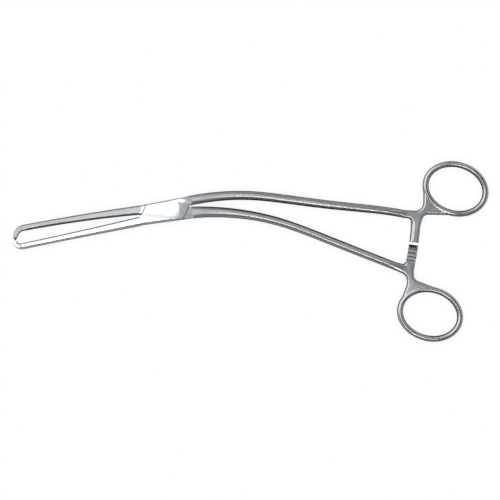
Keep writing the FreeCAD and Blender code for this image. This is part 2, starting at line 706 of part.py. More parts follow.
def make_box_half():
    """The half with the slotted lock, which carries the lower jaw and the upper ring."""
    body = doc.addObject("PartDesign::Body", "BoxHalf")
    body.Label = "box_half"
    root, flip = cell("lock_root"), f"-{cell('lock_nose')}"
    jaw_split, shank_split = cell("split_jaw_box"), cell("split_shank_box")
    front, rear = cell("seam_front"), cell("seam_rear")
    before = (("-1.5", "2.15"), ("9.5", "1.7"), ("9.6", "14.5"), ("24", "0.6"), ("24", "-0.5"), ("9.6", "-0.2"))
    rounds = {1: "crook_radius", 5: "arm_root_radius", 6: "arm_blend_radius", 9: "arm_foot_radius"}
    radii = {i: cell(name) for i, name in rounds.items()}
    add_handle(body, "box", before, (("-1.5", "-1.85"),), radii, False)
    plan = lock_sketch(body, "LockPlan", "0")
    outline(
        plan,
        (
            (f"-{front}", lock_edge(f"-{front}", 1)),
            (root, lock_edge(root, 1)),
            (root, shank_split),
            (f"{rear_seam(shank_split)} + 0.5", shank_split),
            (rear_seam(f"{shank_split} - 0.8"), f"{shank_split} - 0.8"),
            (rear, lock_edge(rear, -1)),
            (flip, lock_edge(flip, -1)),
            (flip, jaw_split),
            (f"{front_seam(jaw_split)} - 0.5", jaw_split),
            (front_seam(f"{jaw_split} + 0.8"), f"{jaw_split} + 0.8"),
        ),
    )
    pad(body, plan, "Lock", cell("lock_thick"))
    doc.recompute()
    round_lock(body, "LockEdges")
    add_ramp(body)
    add_shank(body, "box")
    add_jaw(body, "box")
    wall = f"{cell('tongue_reach')} + {cell('stop_clear')}"
    slant = f"({cell('tongue_slant')} - {cell('opening')})"
    out = f"({cell('lock_width')} / 2 + 2)"
    slot = lock_sketch(body, "SlotPlan", SLOT_TOP)
    outline(
        slot,
        (
            (f"{flip} - 3", out),
            (f"{flip} - 3", jaw_split),
            (end_face(jaw_split, wall, slant, -1), jaw_split),
            (end_face(f"-{out}", wall, slant, -1), f"-{out}"),
            (f"{root} + 3", f"-{out}"),
            (f"{root} + 3", shank_split),
            (end_face(shank_split, wall, slant, 1), shank_split),
            (end_face(out, wall, slant, 1), out),
        ),
    )
    pocket(body, slot, "Slot", cell("slot_thick"))
    bore = lock_sketch(body, "PinBore", cell("lock_thick"))
    circle(bore, cell("pin_dia"))
    pocket(body, bore, "Bore", cell("lock_thick"))
    add_pin_seats(body)
    return body


def add_pin_seats(body):
    """The countersinks in the cheeks that the pin's peened ends fill."""
    profile = new_sketch(body, "SeatProfile", "XZ_Plane", ("0", "0", "0"), (0, 1, 0), "0")
    pin_profile(profile)
    groove = body.newObject("PartDesign::Groove", "PinSeats")
    groove.Profile = profile
    groove.ReferenceAxis = (profile, ["V_Axis"])
    groove.Angle = 360
    doc.recompute()


def pin_profile(sketch):
    """Half of the pin's section, from its axis outwards."""
    shaft, head = f"{cell('pin_dia')} / 2", f"{cell('pin_head_dia')} / 2"
    top, depth = cell("lock_thick"), cell("pin_head_depth")
    outline(
        sketch,
        (
            ("0", "0"),
            (head, "0"),
            (shaft, depth),
            (shaft, f"{top} - {depth}"),
            (head, top),
            ("0", top),
        ),
    )


def make_tongue_half():
    """The half whose tongue passes through the lock, with the upper jaw and the lower ring."""
    body = doc.addObject("PartDesign::Body", "TongueHalf")
    body.Label = "tongue_half"
    root, flip = cell("lock_root"), f"-{cell('lock_nose')}"
    jaw_split, shank_split = cell("split_jaw_tongue"), cell("split_shank_tongue")
    gap = cell("seam_gap")
    front, rear = cell("seam_front"), cell("seam_rear")
    after = (("4.5", "-4.8"), ("15", "-8.8"), ("15", "-10.5"), ("-2.6", "-16.8"), ("0.8", "-7.8"), ("0.9", "-2.7"))
    rounds = {1: "arm_foot_radius", 5: "arm_root_radius", 10: "crook_radius"}
    radii = {i: cell(name) for i, name in rounds.items()}
    add_handle(body, "tongue", (("-7", "4.8"),), after + (("-7", "0.7"),), radii, True)
    jaw_block = lock_sketch(body, "JawBlockPlan", "0")
    front_top = lock_edge(f"-{front}", 1)
    outline(
        jaw_block,
        (
            (front_seam(front_top, gap), front_top),
            (front_seam(jaw_split, gap), jaw_split),
            (flip, jaw_split),
            (flip, lock_edge(flip, 1)),
        ),
    )
    pad(body, jaw_block, "JawBlock", cell("lock_thick"))
    doc.recompute()
    tongue = lock_sketch(body, "TonguePlan", f"{MIDDLE} - {cell('slot_thick')} / 2 + {cell('slot_clear')}")
    reach, slant = cell("tongue_reach"), cell("tongue_slant")
    low, high = end_face_at_edge(-1), end_face_at_edge(1)
    outline(
        tongue,
        (
            (f"{flip} + 1", jaw_split),
            (end_face(jaw_split, reach, slant, -1), jaw_split),
            (low, lock_edge(low, -1)),
            (f"{root} - 1", lock_edge(f"{root} - 1", -1)),
            (f"{root} - 1", shank_split),
            (end_face(shank_split, reach, slant, 1), shank_split),
            (high, lock_edge(high, 1)),
            (f"{flip} + 1", lock_edge(f"{flip} + 1", 1)),
        ),
    )
    pad(body, tongue, "Tongue", f"{cell('slot_thick')} - 2 * {cell('slot_clear')}")
    doc.recompute()
    shank_block = lock_sketch(body, "ShankBlockPlan", "0")
    rear_low = lock_edge(rear, -1)
    outline(
        shank_block,
        (
            (rear_seam(rear_low, gap), rear_low),
            (root, lock_edge(root, -1)),
            (root, shank_split),
            (rear_seam(shank_split, gap), shank_split),
        ),
    )
    pad(body, shank_block, "ShankBlock", cell("lock_thick"))
    doc.recompute()
    round_lock(body, "LockEdges", number(body, jaw_split), number(body, shank_split))
    add_ramp(body)
    add_shank(body, "tongue")
    add_jaw(body, "tongue")
    bore = lock_sketch(body, "PinBore", cell("lock_thick"))
    circle(bore, f"{cell('pin_dia')} + 2 * {cell('pin_clear')}")
    pocket(body, bore, "Bore", cell("lock_thick"))
    return body


def make_pin():
    """The pivot pin, flush with both cheeks."""
    body = doc.addObject("PartDesign::Body", "PivotPin")
    body.Label = "pivot_pin"
    profile = new_sketch(body, "PinProfile", "XZ_Plane", ("0", "0", "0"), (0, 1, 0), "0")
    pin_profile(profile)
    turned = body.newObject("PartDesign::Revolution", "Pin")
    turned.Profile = profile
    turned.ReferenceAxis = (profile, ["V_Axis"])
    turned.Angle = 360
    doc.recompute()
    return body


doc = FreeCAD.newDocument("Forceps")
sheet = doc.addObject("Spreadsheet::Sheet", "Sizes")
for row, (alias, value, meaning) in enumerate(SIZES, 1):
    sheet.set(f"A{row}", alias)
    sheet.set(f"B{row}", str(value))
    sheet.set(f"C{row}", meaning)
    sheet.setAlias(f"B{row}", alias)
doc.recompute()

bodies = (make_box_half(), make_tongue_half(), make_pin())
doc.recompute()

for item in doc.Objects:
    if "Invalid" in item.State or "Error" in item.State:
        raise ValueError(f"{item.Label}: {item.State}")
for body in bodies:
    if body.Shape.isNull() or not body.Shape.isValid() or len(body.Shape.Solids) != 1:
        raise ValueError(f"{body.Label}: shape is not one valid solid")

os.makedirs("parts", exist_ok=True)
for body in bodies:
    body.Shape.exportStep(f"parts/{body.Label}.step")
    box = body.Shape.BoundBox
    print(body.Label, round(body.Shape.Volume, 1), box)
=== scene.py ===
"""Box-lock forceps with one hooked tooth on each jaw, lying flat on a pale studio floor."""

import logging
import math
from dataclasses import dataclass
from enum import Enum, auto

import bpy
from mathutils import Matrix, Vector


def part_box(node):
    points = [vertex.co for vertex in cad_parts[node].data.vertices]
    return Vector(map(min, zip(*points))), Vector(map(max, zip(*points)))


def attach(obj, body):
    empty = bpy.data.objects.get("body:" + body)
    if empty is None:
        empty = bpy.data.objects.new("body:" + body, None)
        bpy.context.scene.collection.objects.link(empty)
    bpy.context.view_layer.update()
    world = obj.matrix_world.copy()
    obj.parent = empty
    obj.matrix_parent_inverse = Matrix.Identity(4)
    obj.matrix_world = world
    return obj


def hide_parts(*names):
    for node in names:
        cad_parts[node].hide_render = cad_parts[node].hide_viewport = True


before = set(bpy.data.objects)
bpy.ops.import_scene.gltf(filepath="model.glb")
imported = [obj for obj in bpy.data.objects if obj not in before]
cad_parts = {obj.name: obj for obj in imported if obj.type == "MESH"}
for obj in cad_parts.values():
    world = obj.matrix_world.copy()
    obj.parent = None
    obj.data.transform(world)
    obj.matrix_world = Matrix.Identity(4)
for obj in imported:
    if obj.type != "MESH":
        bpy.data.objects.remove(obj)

LOG = logging.getLogger("forceps")
MM = 0.001
NODE_COLUMN = 220
NODE_ROW = 260
NODES_IN_ROW = 8

Colour = tuple[float, float, float]
Point = tuple[float, float]
Socket = bpy.types.NodeSocket


class GroundFrom(Enum):
    """Where along a piece the bright grinding begins, in metres from the pivot."""

    JAW_TIP = -90 * MM
    LOCK_FRONT = -13 * MM


class Mark(Enum):
    """What the belt, the blasting, the hands and the years left on the steel, and the painted shade in its
    seams and corners.
    """

    GRAIN = auto()
    CLOUD = auto()
    SMUDGE = auto()
    SCRATCH = auto()
    # Painted shade in seams and corners from ambient occlusion; it also dulls them as grime would.
    GRIME_AND_SHADE = auto()
    WEAR = auto()


@dataclass(frozen=True)
class Ramp:
    """A straight change from start to end while something else goes from low to high."""

    low: float
    high: float
    start: float
    end: float


class NodeSheet:
    """Adds and links the nodes of one tree, in plain calls."""

    def __init__(self, tree: bpy.types.NodeTree) -> None:
        """Takes over the tree and empties it.

        Args:
            tree: The tree that the nodes are added to.
        """
        tree.nodes.clear()
        self.tree = tree
        self.count = 0

    def add(self, kind: str, links: dict | None = None, **settings: object) -> bpy.types.Node:
        """Adds a node, sets its properties and fills its inputs.

        Args:
            kind: The node's type name in Blender.
            links: Input name or number, to a value or another node's socket.
            settings: Properties of the node itself.

        Returns:
            The new node.
        """
        node = self.tree.nodes.new(kind)
        row, column = divmod(self.count, NODES_IN_ROW)
        node.location = (NODE_COLUMN * column, -NODE_ROW * row)
        self.count += 1
        for name, value in settings.items():
            setattr(node, name, value)
        for name, value in (links or {}).items():
            socket = node.inputs[name]
            if isinstance(value, Socket):
                self.tree.links.new(value, socket)
            else:
                socket.default_value = value
        return node

    def calc(self, operation: str, *values: object) -> Socket:
        """The result of a math node on numbers or sockets."""
        return self.add("ShaderNodeMath", dict(enumerate(values)), operation=operation).outputs[0]

    def plus(self, first: object, second: object) -> Socket:
        """The sum of two numbers or sockets."""
        return self.calc("ADD", first, second)

    def minus(self, first: object, second: object) -> Socket:
        """The first number or socket less the second."""
        return self.calc("SUBTRACT", first, second)

    def times(self, first: object, second: object) -> Socket:
        """The product of two numbers or sockets."""
        return self.calc("MULTIPLY", first, second)

    def ramp(self, value: object, ramp: Ramp) -> Socket:
        """Carries a value over a ramp, level beyond its ends.

        Args:
            value: The number or socket that goes from the ramp's low to its high.
            ramp: The four numbers of the change.

        Returns:
            The changed value.
        """
        links = {
            "Value": value,
            "From Min": ramp.low,
            "From Max": ramp.high,
            "To Min": ramp.start,
            "To Max": ramp.end,
        }
        return self.add("ShaderNodeMapRange", links, clamp=True).outputs["Result"]


class SurfaceSheet(NodeSheet):
    """The nodes of one piece's material, which know the point that is shaded."""

    def __init__(self, material: bpy.types.Material) -> None:
        """Opens the material's own tree.

        Args:
            material: The new material.
        """
        material.use_nodes = True
        super().__init__(material.node_tree)
        self.place = self.add("ShaderNodeTexCoord").outputs["Object"]
        parts = self.add("ShaderNodeSeparateXYZ", {0: self.place}).outputs
        self.x, self.y = parts["X"], parts["Y"]

    def noise(self, place: Socket, scale: float, detail: float, roughness: float) -> Socket:
        """Cloudy noise between 0 and 1 at the place that is given."""
        links = {"Vector": place, "Scale": scale, "Detail": detail, "Roughness": roughness}
        return self.add("ShaderNodeTexNoise", links).outputs["Fac"]

    def bump(self, height: Socket, distance: float, strength: float, normal: Socket) -> Socket:
        """The normal after a height of that many metres is laid on it."""
        links = {"Height": height, "Distance": distance, "Strength": strength, "Normal": normal}
        return self.add("ShaderNodeBump", links).outputs["Normal"]


@dataclass(frozen=True)
class ShankLine:
    """The middle line of a shank in plan: a bow of one radius, then straight to the handle."""

    start: Point
    first_angle: float
    last_angle: float
    radius: float
    half_width: float = 2.2 * MM
    crown: float = 0.36 * MM
    lowest_share: float = -0.5
    rise: Ramp = Ramp(14 * MM, 20 * MM, 0.0, 1.0)
    fall: Ramp = Ramp(117 * MM, 127 * MM, 1.0, 0.0)

    def centre(self) -> Point:
        """The centre of the bow."""
        turn = math.radians(self.first_angle)
        return self.start[0] + self.radius * math.sin(turn), self.start[1] - self.radius * math.cos(turn)

    def offset(self, sheet: SurfaceSheet) -> Socket:
        """The distance of the point to the far side of the middle line.

        Args:
            sheet: The material's nodes.

        Returns:
            The distance, in metres, below zero on the near side.
        """
        x, y = self.centre()
        turn = math.radians(self.last_angle)
        away = (-math.sin(turn), math.cos(turn))
        along = sheet.minus(sheet.x, x)
        across = sheet.minus(sheet.y, y)
        squares = sheet.plus(sheet.times(along, along), sheet.times(across, across))
        bow = sheet.minus(sheet.calc("SQRT", squares), self.radius)
        run = sheet.plus(sheet.times(along, away[0]), sheet.times(across, away[1]))
        run = sheet.minus(run, self.radius)
        straight = sheet.calc("GREATER_THAN", sheet.x, x + self.radius * away[0])
        return sheet.add("ShaderNodeMix", {"Factor": straight, "A": bow, "B": run}).outputs["Result"]

    def height(self, sheet: SurfaceSheet) -> Socket:
        """The gentle crown that the dies left across the shank.

        Args:
            sheet: The material's nodes.

        Returns:
            The height of the crown, in metres.
        """
        share = sheet.calc("DIVIDE", self.offset(sheet), self.half_width)
        dome = sheet.minus(1.0, sheet.times(share, share))
        dome = sheet.times(sheet.calc("MAXIMUM", dome, self.lowest_share), self.crown)
        dome = sheet.times(dome, sheet.ramp(sheet.x, self.rise))
        return sheet.times(dome, sheet.ramp(sheet.x, self.fall))


@dataclass(frozen=True)
class FallEdge:
    """A long edge in plan, towards which the face was ground away.

    Its corners run with the steel on their left, and bend only away from the steel.
    """

    corners: tuple[Point, ...]
    width: float
    depth: float
    fade: float = 1.5 * MM
    roundness: float = 1.2

    def height(self, sheet: SurfaceSheet) -> Socket:
        """How far the face falls towards the edge.

        Args:
            sheet: The material's nodes.

        Returns:
            The height of the face, zero or below, in metres.
        """
        inside: Socket | None = None
        for start, end in zip(self.corners, self.corners[1:]):
            away = self.across(sheet, start, end)
            inside = away if inside is None else sheet.calc("MAXIMUM", inside, away)
        share = sheet.ramp(inside, Ramp(0.0, self.width, 1.0, 0.0))
        depth = sheet.times(sheet.calc("POWER", share, self.roundness), -self.depth)
        first, last = self.corners[0], self.corners[-1]
        run = (last[0] - first[0], last[1] - first[1])
        length = math.hypot(*run)
        along = self.across(sheet, (first[0] - run[1], first[1] + run[0]), first)
        depth = sheet.times(depth, sheet.ramp(along, Ramp(0.0, self.fade, 0.0, 1.0)))
        return sheet.times(depth, sheet.ramp(along, Ramp(length - self.fade, length, 1.0, 0.0)))

    def across(self, sheet: SurfaceSheet, start: Point, end: Point) -> Socket:
        """The distance of the point to the left of a line.

        Args:
            sheet: The material's nodes.
            start: Where the line starts.
            end: Where it goes to.

        Returns:
            The distance, in metres, below zero on the right.
        """
        length = math.dist(start, end)
        way = ((end[0] - start[0]) / length, (end[1] - start[1]) / length)
        x = sheet.times(sheet.minus(sheet.x, start[0]), way[1])
        y = sheet.times(sheet.minus(sheet.y, start[1]), way[0])
        return sheet.minus(y, x)


@dataclass(frozen=True)
class SteelFinish:
    """One finish of stainless steel, with its sizes in metres.

    A piece is ground bright from ground_from to ground_to behind the pivot, and is blasted satin elsewhere.
    """

    name: str
    ground_from: GroundFrom = GroundFrom.JAW_TIP
    ground_to: float = 8.2 * MM
    ground_blend: float = 1 * MM
    seam_blend: float = 3 * MM
    seam_lean: float = 27.7
    satin: Ramp = Ramp(-14 * MM, -12 * MM, 0.65, 0.65)
    run_out: Ramp = Ramp(3 * MM, 9 * MM, 0.0, 0.25)
    run_out_end: Ramp = Ramp(15 * MM, 30 * MM, 1.0, 0.0)
    tint: Colour = (0.62, 0.635, 0.655)
    cloud_scale: float = 45.0
    smudge_scale: float = 260.0
    grain_length: float = 12 * MM
    grain_width: float = 0.14 * MM
    grain_height: float = 0.001 * MM
    grain_strength: float = 0.5
    scratch_turns: tuple[float, ...] = (0.5, -0.7, 1.3)
    scratch_scale: tuple[float, float, float] = (70.0, 2600.0, 900.0)
    scratch_share: Ramp = Ramp(0.68, 0.76, 0.0, 1.0)
    scratch_depth: float = 0.6
    edge: float = 0.25 * MM
    handled_edge: float = 1.6
    wear_share: Ramp = Ramp(0.98, 0.8, 0.0, 1.0)
    # Painted shade in seams and corners: ambient occlusion within this reach darkens the steel's colour and
    # dulls it.
    crevice: float = 1.2 * MM
    grime_and_shade_share: Ramp = Ramp(0.35, 0.9, 1.0, 0.0)
    lines: tuple[ShankLine | FallEdge, ...] = ()
    roughness: tuple[tuple[Mark, Ramp], ...] = (
        (Mark.CLOUD, Ramp(0.3, 0.7, 0.17, 0.31)),
        (Mark.GRAIN, Ramp(0.2, 0.8, -0.05, 0.05)),
        (Mark.SMUDGE, Ramp(0.45, 0.75, 0.0, 0.06)),
        (Mark.GRIME_AND_SHADE, Ramp(0.0, 1.0, 0.0, 0.25)),
        (Mark.WEAR, Ramp(0.0, 1.0, 0.0, -0.08)),
    )
    brightness: tuple[tuple[Mark, Ramp], ...] = (
        (Mark.SMUDGE, Ramp(0.3, 0.7, 0.97, 1.03)),
        (Mark.GRAIN, Ramp(0.2, 0.8, 0.98, 1.02)),
        (Mark.SCRATCH, Ramp(0.0, 1.0, 1.0, 0.9)),
        # Painted shade: ambient occlusion darkens the colour to 0.45 in seams and corners.
        (Mark.GRIME_AND_SHADE, Ramp(0.0, 1.0, 1.0, 0.45)),
        (Mark.WEAR, Ramp(0.0, 1.0, 1.0, 1.12)),
    )

    def material(self) -> bpy.types.Material:
        """Builds the material.

        Returns:
            The node material, on Object coordinates.
        """
        material = bpy.data.materials.new(self.name)
        sheet = SurfaceSheet(material)
        marks = {
            Mark.GRAIN: self.grain(sheet),
            Mark.CLOUD: sheet.noise(sheet.place, self.cloud_scale, 3.0, 0.55),
            Mark.SMUDGE: sheet.noise(sheet.place, self.smudge_scale, 5.0, 0.6),
            Mark.SCRATCH: self.scratches(sheet),
            Mark.GRIME_AND_SHADE: self.grime_and_shade(sheet),
            Mark.WEAR: self.wear(sheet),
        }
        rough = self.extra_roughness(sheet)
        for mark, ramp in self.roughness:
            rough = sheet.plus(rough, sheet.ramp(marks[mark], ramp))
        level = self.shine(sheet)
        for mark, ramp in self.brightness:
            level = sheet.times(level, sheet.ramp(marks[mark], ramp))
        colour = sheet.add("ShaderNodeVectorMath", {0: self.tint, "Scale": level}, operation="SCALE")
        links = {
            "Base Color": colour.outputs["Vector"],
            "Metallic": 1.0,
            "Roughness": rough,
            "Normal": self.relief(sheet, marks),
        }
        shader = sheet.add("ShaderNodeBsdfPrincipled", links)
        sheet.add("ShaderNodeOutputMaterial", {"Surface": shader.outputs["BSDF"]})
        return material

    def relief(self, sheet: SurfaceSheet, marks: dict[Mark, Socket]) -> Socket:
        """The forms too gentle for the forging itself, from edges to belt grain.

        Args:
            sheet: The material's nodes.
            marks: The marks on the steel, each 0 to 1.

        Returns:
            The normal of the surface.
        """
        normal = sheet.add("ShaderNodeBevel", {"Radius": self.edge}, samples=8).outputs["Normal"]
        for line in self.lines:
            normal = sheet.bump(line.height(sheet), 1.0, 1.0, normal)
        height = sheet.minus(marks[Mark.GRAIN], sheet.times(marks[Mark.SCRATCH], self.scratch_depth))
        return sheet.bump(height, self.grain_height, self.grain_strength, normal)

    def grain(self, sheet: SurfaceSheet) -> Socket:
        """Fine parallel lines left by the belt.

        Args:
            sheet: The material's nodes.

        Returns:
            The lines, 0 to 1.
        """
        scale = (1 / self.grain_length, 1 / self.grain_width, 1 / self.grain_width)
        drawn = sheet.add("ShaderNodeMapping", {"Vector": sheet.place, "Scale": scale})
        return sheet.noise(drawn.outputs["Vector"], 1.0, 2.0, 0.6)

    def scratches(self, sheet: SurfaceSheet) -> Socket:
        """A few fine stray scratches from use.

        Args:
            sheet: The material's nodes.

        Returns:
            The scratches, 0 to 1.
        """
        marks: Socket | None = None
        for turn in self.scratch_turns:
            links = {"Vector": sheet.place, "Rotation": (0.0, 0.0, turn), "Scale": self.scratch_scale}
            turned = sheet.add("ShaderNodeMapping", links).outputs["Vector"]
            line = sheet.ramp(sheet.noise(turned, 1.0, 0.0, 0.5), self.scratch_share)
            marks = line if marks is None else sheet.calc("MAXIMUM", marks, line)
        return marks

    def behind_pivot(self, sheet: SurfaceSheet) -> Socket:
        """The distance behind the pivot, square to the lock's slanting rear seam.

        Args:
            sheet: The material's nodes.

        Returns:
            The distance, in metres.
        """
        turn = math.radians(self.seam_lean)
        return sheet.minus(sheet.times(sheet.x, math.cos(turn)), sheet.times(sheet.y, math.sin(turn)))

    def shine(self, sheet: SurfaceSheet) -> Socket:
        """How much of its light the steel gives back before its marks are counted.

        Args:
            sheet: The material's nodes.

        Returns:
            The share, 1 where the steel was ground bright and less where it was blasted satin.
        """
        start, end = self.ground_from.value, self.ground_to
        front = sheet.ramp(sheet.x, Ramp(start - self.ground_blend, start + self.ground_blend, 0.0, 1.0))
        rear_ramp = Ramp(end - self.seam_blend, end + self.seam_blend, 1.0, 0.0)
        rear = sheet.ramp(self.behind_pivot(sheet), rear_ramp)
        return sheet.calc("MAXIMUM", sheet.ramp(sheet.x, self.satin), sheet.times(front, rear))

    def extra_roughness(self, sheet: SurfaceSheet) -> Socket:
        """Extra roughness where the ground flats run out behind the pivot.

        Args:
            sheet: The material's nodes.

        Returns:
            The roughness to be added.
        """
        along = self.behind_pivot(sheet)
        return sheet.times(sheet.ramp(along, self.run_out), sheet.ramp(along, self.run_out_end))

    def grime_and_shade(self, sheet: SurfaceSheet) -> Socket:
        """Painted shade in seams and corners from ambient occlusion, which also dulls them as grime would, 0
        to 1.
        """
        shade = sheet.add("ShaderNodeAmbientOcclusion", {"Distance": self.crevice}, samples=6)
        return sheet.ramp(shade.outputs["AO"], self.grime_and_shade_share)

    def wear(self, sheet: SurfaceSheet) -> Socket:
        """Brightness along handled edges.

        Args:
            sheet: The material's nodes.

        Returns:
            The wear, 0 to 1.
        """
        flat = sheet.add("ShaderNodeNewGeometry").outputs["Normal"]
        rounded = sheet.add("ShaderNodeBevel", {"Radius": self.edge * self.handled_edge}, samples=4)
        links = {0: flat, 1: rounded.outputs["Normal"]}
        same = sheet.add("ShaderNodeVectorMath", links, operation="DOT_PRODUCT").outputs["Value"]
        return sheet.ramp(same, self.wear_share)


@dataclass
class Forging:
    """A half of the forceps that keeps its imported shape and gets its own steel."""

    node: str
    finish: SteelFinish

    def build(self) -> bpy.types.Object:
        """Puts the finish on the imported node.

        Returns:
            The node's object.
        """
        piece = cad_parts[self.node]
        material = self.finish.material()
        for slot in piece.material_slots:
            slot.material = material
        return piece


@dataclass
class BoxHalf(Forging):
    """The half with the lower jaw, the lock's two cheeks and the upper shank, ring and ratchet arm."""

    node: str = "box_half"
    finish: SteelFinish = SteelFinish(
        "box_steel_satin",
        lines=(
            ShankLine((12 * MM, 5.47 * MM), 12.5, -7.18, 126.9 * MM),
            FallEdge(
                ((-77 * MM, -20.3 * MM), (-11 * MM, -7.04 * MM), (8.3 * MM, -4.42 * MM)),
                width=1.35 * MM,
                depth=0.5 * MM,
            ),
            FallEdge(((129.2 * MM, -5 * MM), (128.2 * MM, -15.6 * MM)), width=2 * MM, depth=0.3 * MM),
        ),
    )


@dataclass
class TongueHalf(Forging):
    """The half with the upper jaw, the tongue and the lower shank, ring and ratchet arm."""

    node: str = "tongue_half"
    finish: SteelFinish = SteelFinish(
        "tongue_steel_satin",
        ground_from=GroundFrom.LOCK_FRONT,
        satin=Ramp(-14 * MM, -12 * MM, 0.48, 0.65),
        lines=(
            ShankLine((14 * MM, -0.52 * MM), 3.7, -21.55, 135.3 * MM),
            FallEdge(
                (
                    (-74 * MM, -10.2 * MM),
                    (-50 * MM, -6.08 * MM),
                    (-30 * MM, -3.42 * MM),
                    (-13 * MM, -1.75 * MM),
                ),
                width=1.3 * MM,
                depth=0.35 * MM,
            ),
        ),
    )


@dataclass
class PivotPin:
    """The turned pin through the lock, peened flush into both cheeks."""

    node: str = "pivot_pin"
    body: str = "box_side"
    slot: str = "pin_steel"
    finish: SteelFinish = SteelFinish("pin_steel_turned", edge=0.04 * MM)
    shaft_radius: float = 1.9 * MM
    head_depth: float = 0.5 * MM
    merge: float = 0.002 * MM
    sides: int = 96

    def build(self) -> bpy.types.Object:
        """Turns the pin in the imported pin's place.

        Returns:
            The finished piece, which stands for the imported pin.
        """
        low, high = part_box(self.node)
        sizes = {
            "Shaft Radius": self.shaft_radius,
            "Head Radius": (high[0] - low[0]) / 2,
            "Head Depth": self.head_depth,
            "Length": high[2] - low[2],
        }
        mesh = self.turned(self.turning(sizes, self.finish.material()), sizes)
        piece = bpy.data.objects.new("pin_turned", mesh)
        bpy.context.scene.collection.objects.link(piece)
        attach(piece, self.body)
        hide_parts(self.node)
        return piece

    def turned(self, tree: bpy.types.NodeTree, sizes: dict[str, float]) -> bpy.types.Mesh:
        """Runs the turning tree once and keeps its result.

        Args:
            tree: The tree of Geometry Nodes.
            sizes: The value of each named input.

        Returns:
            The plain mesh.
        """
        blank = bpy.data.objects.new("pin_blank", bpy.data.meshes.new("pin_blank"))
        bpy.context.scene.collection.objects.link(blank)
        modifier = blank.modifiers.new("turning", "NODES")
        modifier.node_group = tree
        for item in tree.interface.items_tree:
            if item.in_out == "INPUT" and item.name in sizes:
                modifier[item.identifier] = sizes[item.name]
        graph = bpy.context.evaluated_depsgraph_get()
        mesh = bpy.data.meshes.new_from_object(blank.evaluated_get(graph))
        mesh.name = "pin_turned"
        blank.modifiers.remove(modifier)
        bpy.data.objects.remove(blank)
        return mesh

    def turning(self, sizes: dict[str, float], material: bpy.types.Material) -> bpy.types.NodeTree:
        """The tree that turns a shaft between two flared heads.

        Args:
            sizes: The named sizes, in metres, which become the tree's inputs.
            material: The steel that the pin gets.

        Returns:
            The tree of Geometry Nodes.
        """
        tree = bpy.data.node_groups.new("pin_turning", "GeometryNodeTree")
        for name, value in sizes.items():
            socket = tree.interface.new_socket(name=name, in_out="INPUT", socket_type="NodeSocketFloat")
            socket.default_value = value
        tree.interface.new_socket(name="Geometry", in_out="OUTPUT", socket_type="NodeSocketGeometry")
        sheet = NodeSheet(tree)
        given = sheet.add("NodeGroupInput").outputs
        shaft, head, depth = given["Shaft Radius"], given["Head Radius"], given["Head Depth"]
        upper_seat = sheet.minus(given["Length"], depth)
        disc = {"Vertices": self.sides, "Radius": head}
        face = sheet.add("GeometryNodeMeshCircle", disc, fill_type="NGON").outputs["Mesh"]
        joined = sheet.add("GeometryNodeJoinGeometry")
        for part in (
            self.wall(sheet, head, shaft, depth),
            self.lifted(sheet, self.wall(sheet, shaft, shaft, sheet.minus(upper_seat, depth)), depth),
            self.lifted(sheet, self.wall(sheet, shaft, head, depth), upper_seat),
            self.lifted(sheet, face, given["Length"]),
            sheet.add("GeometryNodeFlipFaces", {"Mesh": face}).outputs["Mesh"],
        ):
            tree.links.new(part, joined.inputs["Geometry"])
        links = {"Geometry": joined.outputs["Geometry"], "Distance": self.merge}
        closed = sheet.add("GeometryNodeMergeByDistance", links).outputs["Geometry"]
        real = sheet.add("GeometryNodeRealizeInstances", {"Geometry": closed}).outputs["Geometry"]
        steel = sheet.add("GeometryNodeSetMaterial", {"Geometry": real, "Material": material})
        sheet.add("NodeGroupOutput", {"Geometry": steel.outputs["Geometry"]})
        return tree

    def wall(self, sheet: NodeSheet, below: Socket, above: Socket, depth: Socket) -> Socket:
        """An open turned wall that stands at height zero.

        Args:
            sheet: The tree's nodes.
            below: Its lower radius.
            above: Its upper radius.
            depth: How high it stands.

        Returns:
            The wall's mesh.
        """
        links = {
            "Vertices": self.sides,
            "Side Segments": 1,
            "Radius Bottom": below,
            "Radius Top": above,
            "Depth": depth,
        }
        return sheet.add("GeometryNodeMeshCone", links, fill_type="NONE").outputs["Mesh"]

    def lifted(self, sheet: NodeSheet, part: Socket, height: Socket) -> Socket:
        """The part moved up by height."""
        way = sheet.add("ShaderNodeCombineXYZ", {"Z": height}).outputs["Vector"]
        return sheet.add("GeometryNodeTransform", {"Geometry": part, "Translation": way}).outputs["Geometry"]


